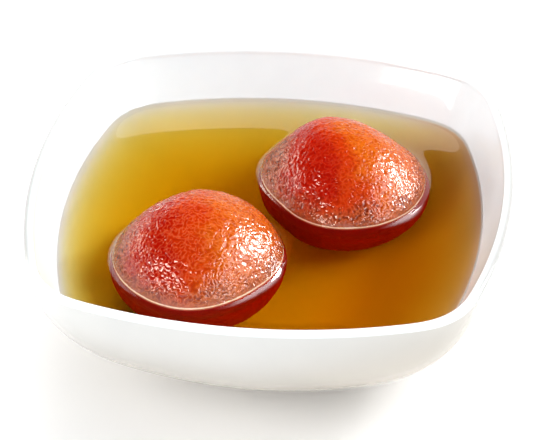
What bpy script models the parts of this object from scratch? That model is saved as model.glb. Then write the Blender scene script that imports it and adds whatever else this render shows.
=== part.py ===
"""Two gulab jamun lying in amber sugar syrup, in the white glazed bowl they are served in.

Metres, +Z up. The bowl stands on z = 0 with its middle on the Z axis, and its four sides, which
bulge a little, face +X, -X, +Y and -Y. The jamun press into the bowl's curve where they rest, and
the syrup fills the rest of the bowl up to its level, cut round them.
"""

import math
from dataclasses import dataclass

import bmesh
import bpy
from mathutils import Vector

# The bowl seen from above: side arcs joined by corner arcs.
HALF_WIDTH = 0.060
SIDE_RADIUS = 0.140
CORNER_RADIUS = 0.0175
FOOT_SQUARENESS = 0.87  # how much of the rim's square plan is left at the foot

# The bowl in section, through the middle of a side.
HEIGHT = 0.047
LIP_THICKNESS = 0.0024
WALL_THICKNESS = 0.0043
THICKENING_DROP = 0.012  # the lip has grown to the wall's thickness this far down
RIM_LEAN = math.radians(1.7)
RIM_SWEEP = 0.0240  # length of the curve's handle at the rim
FOOT_SWEEP = 0.0040  # and at the foot
FOOT_HALF_WIDTH = 0.0240
FOOT_HEIGHT = 0.0020
FOOT_RING_WIDTH = 0.0036
FOOT_CHAMFER = 0.0005

# What the bowl holds.
SYRUP_BELOW_RIM = 0.0134
GAP = 0.0003  # left between pieces that touch

# Round a jamun: elevations in degrees.
SHOULDER_AT = 20.0
SHOULDER_SPREAD = 12.0
TUCK_START = 22.0
TUCK_FULL = 4.0
REST_START = -35.0
REST_FULL = -75.0

# How finely the shapes are cut.
TURN_STEPS = 60
CORNER_CROWDING = 0.55  # share by which the turning steps close up at the corners
WALL_STEPS = 11
LIP_STEPS = 6
JAMUN_SUBDIVISIONS = 4
SETTLE_STEPS = 24

WALL_TOP = HEIGHT - LIP_THICKNESS / 2
FLOOR = FOOT_HEIGHT + WALL_THICKNESS
SYRUP_LEVEL = HEIGHT - SYRUP_BELOW_RIM


@dataclass(frozen=True)
class Lump:
    """A soft rise, or a dent where the height is negative, round one direction of a jamun."""

    azimuth: float
    elevation: float
    height: float
    spread: float = 35.0

    def at(self, direction):
        """Height of the lump along a unit direction."""
        azimuth, elevation = math.radians(self.azimuth), math.radians(self.elevation)
        level = math.cos(elevation)
        peak = Vector((level * math.cos(azimuth), level * math.sin(azimuth), math.sin(elevation)))
        away = math.degrees(peak.angle(direction)) / self.spread
        return self.height * math.exp(-away * away)


def ease(part):
    """A share from 0 to 1, eased at both ends."""
    part = max(0.0, min(1.0, part))
    return part * part * (3 - 2 * part)


@dataclass(frozen=True)
class Jamun:
    """A fried dough ball: its middle, its radius and what is uneven about it.

    Round its middle it has a shoulder, at about the syrup's level, and under that it is tucked in.
    """

    name: str
    centre: Vector
    radius: float
    shoulder: float
    tuck: float
    lumps: tuple

    def girth(self, direction):
        """How much the shoulder and the tuck add to the radius along a unit direction."""
        elevation = math.degrees(math.asin(max(-1.0, min(1.0, direction.z))))
        bulge = math.exp(-(((elevation - SHOULDER_AT) / SHOULDER_SPREAD) ** 2))
        under = ease((TUCK_START - elevation) / (TUCK_START - TUCK_FULL))
        rest = ease((REST_START - elevation) / (REST_START - REST_FULL))
        return self.shoulder * bulge - self.tuck * under * (1 - rest)

    def reach(self, direction):
        """Distance from the middle to the skin, before the ball settles against the bowl."""
        lumps = sum(lump.at(direction) for lump in self.lumps)
        return self.radius + self.girth(direction) + lumps


JAMUNS = (
    Jamun(
        "gulab_jamun_left",
        Vector((-0.0160, -0.0181, 0.0276)),
        0.0227,
        0.0,
        0.0028,
        (
            Lump(azimuth=143, elevation=44, height=-0.0010, spread=25),
            Lump(azimuth=-38, elevation=16, height=-0.0013, spread=28),
            Lump(azimuth=-94, elevation=16, height=0.0007, spread=20),
        ),
    ),
    Jamun(
        "gulab_jamun_right",
        Vector((0.0164, 0.0176, 0.0285)),
        0.0212,
        0.0012,
        0.0011,
        (
            Lump(azimuth=0, elevation=-90, height=0.0012, spread=45),
            Lump(azimuth=48, elevation=41, height=-0.0015, spread=30),
            Lump(azimuth=126, elevation=50, height=0.0008, spread=22),
            Lump(azimuth=169, elevation=22, height=0.0006, spread=18),
            Lump(azimuth=-140, elevation=15, height=-0.0014, spread=24),
            Lump(azimuth=-46, elevation=15, height=0.0010, spread=28),
            Lump(azimuth=-90, elevation=18, height=0.0006, spread=25),
        ),
    ),
)


def plan_reach(angle):
    """Reach of the rim's plan at this angle, as a share of its half width: 1 at a side's middle."""
    side = Vector((HALF_WIDTH - SIDE_RADIUS, 0.0))
    apart = SIDE_RADIUS - CORNER_RADIUS
    inset = (side.x + math.sqrt(2 * apart**2 - side.x**2)) / 2
    corner = Vector((inset, inset))
    meeting = side + SIDE_RADIUS * (corner - side).normalized()
    folded = abs((angle + math.pi / 4) % (math.pi / 2) - math.pi / 4)
    on_side = folded < math.atan2(meeting.y, meeting.x)
    centre, radius = (side, SIDE_RADIUS) if on_side else (corner, CORNER_RADIUS)
    along = centre.dot(Vector((math.cos(folded), math.sin(folded))))
    return (along + math.sqrt(along**2 - centre.length_squared + radius**2)) / HALF_WIDTH


def crowded(angle):
    """This angle moved towards the nearest corner, where the plan bends most and needs points."""
    return angle + CORNER_CROWDING / 4 * math.sin(4 * angle)


def squaring(x, y, z):
    """How far a turned shape is stretched level here, to give it the bowl's square plan."""
    squareness = FOOT_SQUARENESS + (1 - FOOT_SQUARENESS) * z / HEIGHT
    return 1 + (plan_reach(math.atan2(y, x)) - 1) * squareness


def wall_section(share):
    """Point on the outer wall and the way out of it, at a share of the way from rim to foot."""
    rim = Vector((HALF_WIDTH, WALL_TOP))
    foot = Vector((FOOT_HALF_WIDTH, FOOT_HEIGHT))
    below_rim = rim - RIM_SWEEP * Vector((math.tan(RIM_LEAN), 1.0))
    beside_foot = foot + Vector((FOOT_SWEEP, 0.0))
    rest = 1 - share
    point = (
        rest**3 * rim
        + 3 * rest**2 * share * below_rim
        + 3 * rest * share**2 * beside_foot
        + share**3 * foot
    )
    along = (
        rest**2 * (below_rim - rim)
        + 2 * rest * share * (beside_foot - below_rim)
        + share**2 * (foot - beside_foot)
    )
    return point, Vector((-along.y, along.x)).normalized()


def thickness(drop):
    """Wall thickness at this drop below the lip."""
    rest = 1 - min(drop / THICKENING_DROP, 1.0)
    return WALL_THICKNESS - (WALL_THICKNESS - LIP_THICKNESS) * rest**2


def outer_wall():
    """Points down the outside, from the lip to the top of the foot ring."""
    return [wall_section(step / WALL_STEPS)[0] for step in range(WALL_STEPS + 1)]


def inner_wall(gap=0.0):
    """Points down the inside, from the lip to the edge of the flat floor, this gap off the wall."""
    points = []
    for step in range(WALL_STEPS + 1):
        point, outward = wall_section(step / WALL_STEPS)
        points.append(point - outward * (thickness(WALL_TOP - point.y) + gap))
    return points


def lip():
    """The lip's round top, from the inner wall over to the outer wall."""
    inner, outer = inner_wall()[0], outer_wall()[0]
    middle, radius = (inner + outer) / 2, (outer - inner).length / 2
    turns = [math.pi * (1 - step / LIP_STEPS) for step in range(1, LIP_STEPS)]
    return [middle + radius * Vector((math.cos(turn), math.sin(turn))) for turn in turns]


def foot_ring():
    """The foot ring, from its outer face under it and up to the recess inside it."""
    outside, inside = FOOT_HALF_WIDTH, FOOT_HALF_WIDTH - FOOT_RING_WIDTH
    return [
        Vector((outside, FOOT_CHAMFER)),
        Vector((outside - FOOT_CHAMFER, 0.0)),
        Vector((inside + FOOT_CHAMFER, 0.0)),
        Vector((inside, FOOT_CHAMFER)),
        Vector((inside, FOOT_HEIGHT)),
    ]


def bowl_profile():
    """Half section of the bowl, from its floor up, over the lip and down to the underside."""
    floor, underside = Vector((0.0, FLOOR)), Vector((0.0, FOOT_HEIGHT))
    return [floor, *reversed(inner_wall()), *lip(), *outer_wall(), *foot_ring(), underside]


def syrup_profile():
    """Half section of the syrup with no jamun in it, from its surface down to its bottom."""
    wall = inner_wall(GAP)
    first = next(index for index, point in enumerate(wall) if point.y < SYRUP_LEVEL)
    above, below = wall[first - 1], wall[first]
    edge = above.lerp(below, (above.y - SYRUP_LEVEL) / (above.y - below.y))
    bottom = Vector((0.0, FLOOR + GAP))
    return [Vector((0.0, SYRUP_LEVEL)), edge, *wall[first:], bottom]


def inside_bowl(point):
    """Whether a point is clear of the bowl's inner wall and floor by the gap."""
    wall = inner_wall(GAP)
    if point.z <= wall[-1].y:
        return False
    below = next(index for index, corner in enumerate(wall) if corner.y < point.z)
    low, high = wall[below], wall[below - 1]
    half_width = low.x + (high.x - low.x) * (point.z - low.y) / (high.y - low.y)
    return math.hypot(point.x, point.y) < half_width * squaring(*point)


def settled_reach(jamun, direction):
    """Distance from the jamun's middle to its skin, stopped short where the bowl is in the way."""
    reach = jamun.reach(direction)
    if inside_bowl(jamun.centre + reach * direction):
        return reach
    clear, blocked = 0.0, reach
    for _ in range(SETTLE_STEPS):
        middle = (clear + blocked) / 2
        if inside_bowl(jamun.centre + middle * direction):
            clear = middle
        else:
            blocked = middle
    return clear


def new_collection(name):
    """A new collection under the scene's own."""
    collection = bpy.data.collections.new(name)
    bpy.context.scene.collection.children.link(collection)
    return collection


def new_material(name, colour, roughness):
    """A non-metallic Principled material of one colour."""
    material = bpy.data.materials.new(name)
    material.use_nodes = True
    shader = material.node_tree.nodes["Principled BSDF"]
    shader.inputs["Base Color"].default_value = (*colour, 1.0)
    shader.inputs["Roughness"].default_value = roughness
    shader.inputs["Metallic"].default_value = 0.0
    material.diffuse_color = (*colour, 1.0)
    return material


def turned_and_squared(name, profile, collection, material):
    """An object turned from a half section about Z, then stretched to the bowl's square plan."""
    mesh = bpy.data.meshes.new(name)
    points = [(radius, 0.0, height) for radius, height in profile]
    edges = [(index, index + 1) for index in range(len(points) - 1)]
    mesh.from_pydata(points, edges, [])
    obj = bpy.data.objects.new(name, mesh)
    collection.objects.link(obj)

    screw = obj.modifiers.new("Turn", "SCREW")
    screw.steps = screw.render_steps = TURN_STEPS
    screw.use_merge_vertices = True
    screw.merge_threshold = 0.0001
    graph = bpy.context.evaluated_depsgraph_get()
    obj.data = bpy.data.meshes.new_from_object(obj.evaluated_get(graph))
    obj.modifiers.clear()
    bpy.data.meshes.remove(mesh)

    for vertex in obj.data.vertices:
        turned_radius = math.hypot(vertex.co.x, vertex.co.y)
        angle = crowded(math.atan2(vertex.co.y, vertex.co.x))
        x, y = turned_radius * math.cos(angle), turned_radius * math.sin(angle)
        stretch = squaring(x, y, vertex.co.z)
        vertex.co.x, vertex.co.y = stretch * x, stretch * y
    finish(obj, material)
    return obj


def ball(name, centre, reach, collection):
    """A ball whose skin lies at reach(direction) from its middle."""
    body = bmesh.new()
    bmesh.ops.create_icosphere(body, subdivisions=JAMUN_SUBDIVISIONS, radius=1.0)
    for vertex in body.verts:
        direction = vertex.co.normalized()
        vertex.co = reach(direction) * direction
    mesh = bpy.data.meshes.new(name)
    body.to_mesh(mesh)
    body.free()
    obj = bpy.data.objects.new(name, mesh)
    obj.location = centre
    collection.objects.link(obj)
    return obj


def finish(obj, material):
    """Give an object its material and smooth shading with its real edges kept."""
    obj.data.name = obj.name
    obj.data.materials.append(material)
    obj.data.shade_smooth()
    obj.data.set_sharp_from_angle(angle=math.radians(40))


def add_bowl(collection):
    """The bowl, with its lip, curved wall and foot ring in one piece."""
    porcelain = new_material("glazed_porcelain", (0.86, 0.86, 0.84), 0.12)
    return turned_and_squared("bowl", bowl_profile(), collection, porcelain)


def add_jamun(jamun, collection, material):
    """One jamun, pressed flat where it rests on the bowl."""
    obj = ball(jamun.name, jamun.centre, lambda way: settled_reach(jamun, way), collection)
    finish(obj, material)
    return obj


def add_syrup(collection, cutters):
    """The syrup up to its level, with room cut for each jamun."""
    amber = new_material("sugar_syrup", (0.62, 0.27, 0.02), 0.05)
    syrup = turned_and_squared("syrup", syrup_profile(), collection, amber)
    for jamun in JAMUNS:
        name = jamun.name + "_room"
        room = ball(name, jamun.centre, lambda way, one=jamun: one.reach(way) + GAP, cutters)
        room.hide_render = True
        room.display_type = "WIRE"
        cut = syrup.modifiers.new(name, "BOOLEAN")
        cut.operation = "DIFFERENCE"
        cut.solver = "EXACT"
        cut.object = room
    return syrup


def main():
    """Clear the scene and build the bowl and what it holds."""
    for obj in list(bpy.data.objects):
        bpy.data.objects.remove(obj, do_unlink=True)
    parts = new_collection("gulab_jamun_in_bowl")
    cutters = new_collection("cutters")
    add_bowl(parts)
    fried_dough = new_material("fried_jamun", (0.52, 0.09, 0.01), 0.3)
    for jamun in JAMUNS:
        add_jamun(jamun, parts, fried_dough)
    add_syrup(parts, cutters)


if __name__ == "__main__":
    main()
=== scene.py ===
"""Looks for two gulab jamun in amber sugar syrup, in the white glazed bowl they are served in.

Metres, +Z up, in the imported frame: the bowl stands on z = 0 with its middle on the Z axis. The
shapes repeat those of the solids at a much finer pitch, then add what a coarse solid leaves out:
the wrinkled skin, the rounded foot and the edge of the syrup that creeps up whatever it wets.
"""

import logging
import math
from dataclasses import dataclass, field
from enum import Enum

import bpy
import numpy as np
from mathutils import Matrix, Vector, geometry, noise


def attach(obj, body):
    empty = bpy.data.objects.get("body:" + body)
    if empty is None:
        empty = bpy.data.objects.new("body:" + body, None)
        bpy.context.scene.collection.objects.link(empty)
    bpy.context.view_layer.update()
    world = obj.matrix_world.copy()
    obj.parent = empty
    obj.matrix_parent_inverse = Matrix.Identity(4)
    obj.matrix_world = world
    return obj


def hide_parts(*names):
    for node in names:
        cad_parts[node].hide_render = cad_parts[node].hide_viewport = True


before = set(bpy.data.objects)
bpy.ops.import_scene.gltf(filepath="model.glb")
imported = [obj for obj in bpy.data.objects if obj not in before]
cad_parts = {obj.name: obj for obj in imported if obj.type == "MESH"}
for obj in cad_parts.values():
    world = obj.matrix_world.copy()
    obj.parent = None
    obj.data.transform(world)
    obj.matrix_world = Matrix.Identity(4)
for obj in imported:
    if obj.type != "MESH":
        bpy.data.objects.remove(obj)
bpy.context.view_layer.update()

LOG = logging.getLogger("gulab_jamun")
MM = 0.001

Colour = tuple[float, float, float]
Bearing = tuple[float, float]
Step = tuple[float, float]
Face = tuple[int, ...]
Array = np.ndarray

WHITE: Colour = (1.0, 1.0, 1.0)
WARM_WHITE: Colour = (1.0, 0.90, 0.76)
NOISE_SEED = 7
WELDS_PER_UNIT = 1e6  # corners of the unit cube's grids that are nearer than 1 / this are one
TRIANGULATION_TOLERANCE = 1e-7
NOISE_MIDDLE = 0.5  # a Noise Texture's average
WINDING_SCALE = 0.35  # of the wrinkles' own scale
PIMPLE_SCALE = 1.9  # of the wrinkles' own scale
CREASE_STEEPNESS = 3.2
COLOUR_MIX_SOCKETS = (0, 6, 7)  # a Mix node's share and its two colours


class Slot(Enum):
    """The record's material slots."""

    PORCELAIN = "porcelain"
    SYRUP = "sugar_syrup"
    DOUGH = "fried_dough"


# ---------------------------------------------------------------------------------------------
# Shapes
# ---------------------------------------------------------------------------------------------


@dataclass(frozen=True)
class BowlShape:
    """The bowl's plan and section, as the solids have them."""

    half_width: float = 60 * MM
    side_radius: float = 140 * MM
    corner_radius: float = 17.5 * MM
    foot_squareness: float = 0.87
    height: float = 47 * MM
    lip_thickness: float = 2.4 * MM
    wall_thickness: float = 4.3 * MM
    thickening_drop: float = 12 * MM
    rim_lean: float = math.radians(1.7)
    rim_sweep: float = 24 * MM
    foot_sweep: float = 4 * MM
    foot_half_width: float = 24 * MM
    foot_height: float = 2 * MM
    plan_easing: float = 0.05
    eased_from: float = 0.74
    eased_run: float = 12 * MM
    eased_handles: tuple[float, float] = (0.4, 0.5)
    wall_steps: int = 72

    @property
    def wall_top(self) -> float:
        """Height at which the wall ends and the lip's round top begins."""
        return self.height - self.lip_thickness / 2

    @property
    def floor(self) -> float:
        """Height of the flat floor inside."""
        return self.foot_height + self.wall_thickness

    def two_arc_reach(self, angle: Array) -> Array:
        """Reach of a plan of four side arcs and four corner arcs, as a share of the half width.

        Args:
            angle: Directions round Z, in radians.

        Returns:
            The reach in each direction: 1 at the middle of a side.
        """
        side = self.half_width - self.side_radius
        apart = self.side_radius - self.corner_radius
        inset = (side + math.sqrt(2 * apart**2 - side**2)) / 2
        share = self.side_radius / math.hypot(inset - side, inset)
        meeting = math.atan2(inset * share, side + (inset - side) * share)
        folded = np.abs((angle + math.pi / 4) % (math.pi / 2) - math.pi / 4)
        on_side = folded < meeting
        centre_x = np.where(on_side, side, inset)
        centre_y = np.where(on_side, 0.0, inset)
        radius = np.where(on_side, self.side_radius, self.corner_radius)
        along = centre_x * np.cos(folded) + centre_y * np.sin(folded)
        root = np.sqrt(along**2 - centre_x**2 - centre_y**2 + radius**2)
        return (along + root) / self.half_width

    def plan_reach(self, angle: Array) -> Array:
        """The plan's reach, eased a little where its arcs meet, as clay and glaze ease it.

        Args:
            angle: Directions round Z, in radians.

        Returns:
            The reach in each direction, as a share of the half width.
        """
        shifts = self.plan_easing * np.array([-1.0, -0.5, 0.0, 0.5, 1.0])
        weights = np.array([1.0, 2.0, 2.0, 2.0, 1.0])
        shares = weights / weights.sum()
        reach = [share * self.two_arc_reach(angle + shift) for share, shift in zip(shares, shifts)]
        return np.sum(reach, axis=0)

    def stretch(self, angle: Array, height: Array) -> Array:
        """How far a round shape is stretched level at each angle and height, to take this plan."""
        squareness = self.foot_squareness + (1 - self.foot_squareness) * height / self.height
        return 1 + (self.plan_reach(angle) - 1) * squareness

    def wall(self, share: Array) -> tuple[Array, Array]:
        """Points and outward directions on the outer wall's section.

        Args:
            share: Shares of the way from the rim down to the foot.

        Returns:
            The points and the unit directions, as (radius, height) rows.
        """
        rim = np.array([self.half_width, self.wall_top])
        foot = np.array([self.foot_half_width, self.foot_height])
        below_rim = rim - self.rim_sweep * np.array([math.tan(self.rim_lean), 1.0])
        beside_foot = foot + np.array([self.foot_sweep, 0.0])
        part = share[:, None]
        rest = 1 - part
        points = (
            rest**3 * rim
            + 3 * rest**2 * part * below_rim
            + 3 * rest * part**2 * beside_foot
            + part**3 * foot
        )
        along = (
            rest**2 * (below_rim - rim)
            + 2 * rest * part * (beside_foot - below_rim)
            + part**2 * (foot - beside_foot)
        )
        outward = np.stack([-along[:, 1], along[:, 0]], axis=1)
        return points, outward / np.linalg.norm(outward, axis=1, keepdims=True)

    def outer_wall(self) -> Array:
        """The outer wall's section, from the lip to the foot, as (radius, height) rows."""
        return self.wall(np.linspace(0.0, 1.0, self.wall_steps + 1))[0]

    def inner_wall(self, gap: float = 0.0) -> Array:
        """The inner wall's section, from the lip down and round onto the floor.

        Args:
            gap: How far inside the wall to stay; a negative gap goes into it.

        Returns:
            (radius, height) rows, the last of them level with the floor.
        """
        points, outward = self.wall(np.linspace(0.0, self.eased_from, self.wall_steps + 1))
        drop = np.clip((self.wall_top - points[:, 1]) / self.thickening_drop, 0.0, 1.0)
        thinning = (self.wall_thickness - self.lip_thickness) * (1 - drop) ** 2
        inner = points - outward * (self.wall_thickness - thinning + gap)[:, None]
        down = (inner[-1] - inner[-2]) / np.linalg.norm(inner[-1] - inner[-2])
        floor = np.array([inner[-1, 0] - self.eased_run, self.floor + gap])
        near, far = (share * self.eased_run for share in self.eased_handles)
        handles = (inner[-1] + near * down, floor + (far, 0.0))
        part = np.linspace(0.0, 1.0, self.wall_steps // 3 + 1)[1:, None]
        rest = 1 - part
        eased = rest**3 * inner[-1] + part**3 * floor
        eased += 3 * rest**2 * part * handles[0] + 3 * rest * part**2 * handles[1]
        return np.vstack([inner, eased])

    def inner_reach(self, angle: Array, height: Array, gap: float = 0.0) -> Array:
        """Distance from the Z axis to the inner wall.

        Args:
            angle: Directions round Z, in radians.
            height: Heights above the ground.
            gap: How far inside the wall to stay.

        Returns:
            The distance at each place, 0 under the floor.
        """
        section = self.inner_wall(gap)[::-1]
        radius = np.interp(height, section[:, 1], section[:, 0], left=0.0)
        return radius * self.stretch(angle, height)


@dataclass(frozen=True)
class MeshData:
    """Vertices and faces on their way to becoming a mesh."""

    points: Array
    faces: list[Face]

    def joined(self, points: Array, faces: list[Face]) -> "MeshData":
        """This mesh with more points, and more faces numbered as in the whole."""
        return MeshData(np.vstack([self.points, points]), self.faces + faces)

    def to_object(self, name: str, material: bpy.types.Material) -> bpy.types.Object:
        """A smooth-shaded object of this mesh.

        Args:
            name: The object's name, which its mesh shares.
            material: The material that it wears.

        Returns:
            The object, linked to the scene.
        """
        mesh = bpy.data.meshes.new(name)
        mesh.from_pydata(self.points.tolist(), [], self.faces)
        mesh.validate()
        mesh.materials.append(material)
        mesh.shade_smooth()
        obj = bpy.data.objects.new(name, mesh)
        bpy.context.scene.collection.objects.link(obj)
        return obj


def ring_faces(rows: int, columns: int) -> list[Face]:
    """Quads between closed rings of points that follow each other.

    Args:
        rows: Number of rings.
        columns: Points in each ring.

    Returns:
        Faces that look outward where rings go down and points go anticlockwise.
    """
    faces = []
    for row in range(rows - 1):
        for column in range(columns):
            after = (column + 1) % columns
            here, below = row * columns, (row + 1) * columns
            faces.append((here + column, below + column, below + after, here + after))
    return faces


def fan_faces(tip: int, first: int, columns: int, up: bool = True) -> list[Face]:
    """Triangles from one point to a closed ring round it.

    Args:
        tip: The point's number.
        first: The number of the ring's first point.
        columns: Points in the ring, which go anticlockwise.
        up: Whether the faces look up.

    Returns:
        The faces.
    """
    faces = []
    for column in range(columns):
        here, after = first + column, first + (column + 1) % columns
        faces.append((tip, here, after) if up else (tip, after, here))
    return faces


def level_rows(radius: Array, angle: Array) -> Array:
    """Level (x, y) rows at these distances and directions from the middle."""
    return np.stack([radius * np.cos(angle), radius * np.sin(angle)], axis=1)


def even_angles(count: int, crowding: float = 0.0) -> Array:
    """Directions all round Z, closer at the plan's corners by the crowding's share."""
    angles = np.arange(count) * 2 * math.pi / count
    return angles + crowding / 4 * np.sin(4 * angles)


def ring_points(shape: BowlShape, rings: Array, angles: Array) -> Array:
    """Level rings stretched to the bowl's plan.

    Args:
        shape: The bowl whose plan they take.
        rings: Each ring's (radius, height).
        angles: Directions of each ring's points.

    Returns:
        The points as rows, ring after ring.
    """
    heights = np.repeat(rings[:, 1], len(angles))
    turns = np.tile(angles, len(rings))
    radius = np.repeat(rings[:, 0], len(angles)) * shape.stretch(turns, heights)
    return np.column_stack([level_rows(radius, turns), heights])


def turned(shape: BowlShape, profile: Array, angles: Array) -> MeshData:
    """A section turned about Z and stretched to the bowl's plan.

    Args:
        shape: The bowl whose plan it takes.
        profile: (radius, height) rows; the first and the last lie on the axis.
        angles: Directions of the turn's steps.

    Returns:
        The closed mesh.
    """
    rings, count = profile[1:-1], len(angles)
    points = ring_points(shape, rings, angles)
    first, last = len(points), len(points) + 1
    over = fan_faces(first, 0, count)
    under = fan_faces(last, (len(rings) - 1) * count, count, up=False)
    ends = np.array([[0.0, 0.0, profile[0, 1]], [0.0, 0.0, profile[-1, 1]]])
    return MeshData(np.vstack([points, ends]), ring_faces(len(rings), count) + over + under)


def arc(centre: tuple[float, float], radius: float, start: float, end: float, steps: int) -> Array:
    """(radius, height) rows round part of a circle, between two angles in degrees."""
    turns = np.radians(np.linspace(start, end, steps + 1))
    return np.array(centre) + level_rows(radius, turns)


def bearing_way(azimuth: float, elevation: float) -> tuple[float, float, float]:
    """The unit direction along a bearing.

    Args:
        azimuth: Its angle from +X towards +Y, in degrees.
        elevation: Its angle above the level, in degrees.

    Returns:
        The direction's X, Y and Z.
    """
    turn, rise = math.radians(azimuth), math.radians(elevation)
    level = math.cos(rise)
    return level * math.cos(turn), level * math.sin(turn), math.sin(rise)


# ---------------------------------------------------------------------------------------------
# Finishes
# ---------------------------------------------------------------------------------------------


class Graph:
    """A node tree with short ways to add nodes and join them."""

    def __init__(self, tree: bpy.types.NodeTree) -> None:
        """Start on a tree.

        Args:
            tree: The node tree to add to.
        """
        self.tree = tree

    def feed(self, node: bpy.types.Node, inputs: dict) -> bpy.types.Node:
        """Give a node's sockets their values, or join other nodes' outputs to them.

        Args:
            node: The node.
            inputs: Numbers, vectors, colours or outputs, by the socket's name or index.

        Returns:
            The node.
        """
        for name, value in inputs.items():
            socket = node.inputs[name]
            if isinstance(value, bpy.types.NodeSocket):
                self.tree.links.new(value, socket)
            elif socket.type == "RGBA":
                socket.default_value = (*value, 1.0)
            else:
                socket.default_value = value
        return node

    def add(self, kind: str, inputs: dict | None = None, **settings: object) -> bpy.types.Node:
        """Add a node.

        Args:
            kind: The node's type name.
            inputs: Values for its sockets, or outputs to join to them.
            **settings: The node's own settings.

        Returns:
            The node.
        """
        node = self.tree.nodes.new(kind)
        for name, value in settings.items():
            setattr(node, name, value)
        return self.feed(node, inputs or {})

    def math(self, operation: str, *values: object) -> bpy.types.NodeSocket:
        """A Math node's result, from numbers or outputs of other nodes."""
        node = self.add("ShaderNodeMath", dict(enumerate(values)), operation=operation)
        return node.outputs[0]

    def times(self, first: object, second: object) -> bpy.types.NodeSocket:
        """The product of two values."""
        return self.math("MULTIPLY", first, second)

    def rest_of(self, value: object) -> bpy.types.NodeSocket:
        """What a value leaves of 1."""
        return self.math("SUBTRACT", 1.0, value)

    def vector(self, operation: str, *values: object) -> bpy.types.NodeSocket:
        """A Vector Math node's result: a number for a dot product, or else a vector."""
        node = self.add("ShaderNodeVectorMath", dict(enumerate(values)), operation=operation)
        return node.outputs["Value" if operation == "DOT_PRODUCT" else "Vector"]

    def axes(self, vector: bpy.types.NodeSocket) -> bpy.types.bpy_prop_collection:
        """A vector's X, Y and Z, as sockets by name."""
        return self.add("ShaderNodeSeparateXYZ", {"Vector": vector}).outputs

    def noise(self, where: object, scale: object, **inputs: float) -> bpy.types.NodeSocket:
        """Smooth noise.

        Args:
            where: The coordinates' socket.
            scale: The noise's scale, in cycles a metre, a number or a socket.
            **inputs: Other sockets of the Noise Texture.

        Returns:
            The noise's value, about 0.5 on average.
        """
        sockets = {"Vector": where, "Scale": scale}
        sockets.update({name.title(): value for name, value in inputs.items()})
        return self.add("ShaderNodeTexNoise", sockets).outputs["Fac"]

    def ramp(self, value: object, stops: tuple[tuple[float, Colour], ...]) -> bpy.types.NodeSocket:
        """Colours along a value.

        Args:
            value: The value's socket.
            stops: Places from 0 to 1 with their colours.

        Returns:
            The colour's socket.
        """
        node = self.add("ShaderNodeValToRGB", {"Fac": value})
        node.color_ramp.interpolation = "EASE"
        elements = node.color_ramp.elements
        while len(elements) < len(stops):
            elements.new(0.5)
        for element, (place, colour) in zip(elements, stops):
            element.position = place
            element.color = (*colour, 1.0)
        return node.outputs["Color"]

    def fade(self, value: object, low: object, high: object) -> bpy.types.NodeSocket:
        """A smooth step.

        Args:
            value: The value's socket.
            low: Where the step starts, at 0.
            high: Where it ends, at 1.

        Returns:
            The step's socket.
        """
        sockets = {"Value": value, "From Min": low, "From Max": high}
        node = self.add("ShaderNodeMapRange", sockets, interpolation_type="SMOOTHSTEP")
        return node.outputs["Result"]

    def mix(
        self, share: object, first: object, second: object, mode: str = "MIX"
    ) -> bpy.types.NodeSocket:
        """A mix of two colours.

        Args:
            share: How much of the second colour, a number or a socket.
            first: The first colour.
            second: The second colour.
            mode: How the second colour joins the first.

        Returns:
            The mix's socket.
        """
        sockets = dict(zip(COLOUR_MIX_SOCKETS, (share, first, second)))
        node = self.add("ShaderNodeMix", sockets, data_type="RGBA", blend_type=mode)
        return node.outputs[2]

    def multiply(self, first: object, second: object) -> bpy.types.NodeSocket:
        """The product of two colours."""
        return self.mix(1.0, first, second, "MULTIPLY")

    def bump(self, shader: bpy.types.Node, height: object, strength: float, depth: float) -> None:
        """Give a shader a bumpy surface.

        Args:
            shader: The shader.
            height: The heights' socket, from about 0 to 1.
            strength: How much of the bump shows.
            depth: How deep it is, in metres.
        """
        sockets = {"Height": height, "Strength": strength, "Distance": depth}
        node = self.add("ShaderNodeBump", sockets)
        self.feed(shader, {"Normal": node.outputs["Normal"]})


def new_group(
    name: str, inputs: dict[str, float | None], output: str
) -> tuple[Graph, bpy.types.bpy_prop_collection, bpy.types.Node]:
    """A new shader node group with named sockets.

    Args:
        name: The group's name.
        inputs: Its inputs with their usual values, None where an input is a vector.
        output: Its one output, a value.

    Returns:
        The group's graph, the sockets inside it that give the inputs, and its output node.
    """
    tree = bpy.data.node_groups.new(name, "ShaderNodeTree")
    for socket, usual in inputs.items():
        kind = "NodeSocketVector" if usual is None else "NodeSocketFloat"
        made = tree.interface.new_socket(name=socket, in_out="INPUT", socket_type=kind)
        if usual is not None:
            made.default_value = usual
    tree.interface.new_socket(name=output, in_out="OUTPUT", socket_type="NodeSocketFloat")
    graph = Graph(tree)
    return graph, graph.add("NodeGroupInput").outputs, graph.add("NodeGroupOutput")


class Effect(Enum):
    """The effects that several finishes share, by the names of their node groups."""

    CLOUD = "soft_cloud"
    WATERLINE = "waterline"
    WRINKLES = "fried_wrinkles"

    def tree(self) -> bpy.types.NodeTree:
        """The effect's node group, built the first time that it is asked for."""
        known = bpy.data.node_groups.get(self.value)
        if known:
            return known
        builders = {
            Effect.CLOUD: build_cloud,
            Effect.WATERLINE: build_waterline,
            Effect.WRINKLES: build_wrinkles,
        }
        return builders[self]()

    def place(self, graph: Graph, inputs: dict) -> bpy.types.NodeSocket:
        """The effect's value in a material, with these inputs."""
        return graph.add("ShaderNodeGroup", inputs, node_tree=self.tree()).outputs[0]


def build_cloud() -> bpy.types.NodeTree:
    """Soft patches from 0 to 1, as in a glaze or a crust that browned unevenly."""
    usual = {"Place": None, "Scale": 50.0, "Low": 0.35, "High": 0.65}
    graph, given, end = new_group(Effect.CLOUD.value, usual, "Mask")
    value = graph.noise(given["Place"], given["Scale"], detail=3.0, roughness=0.55)
    graph.feed(end, {"Mask": graph.fade(value, given["Low"], given["High"])})
    return graph.tree


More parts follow.
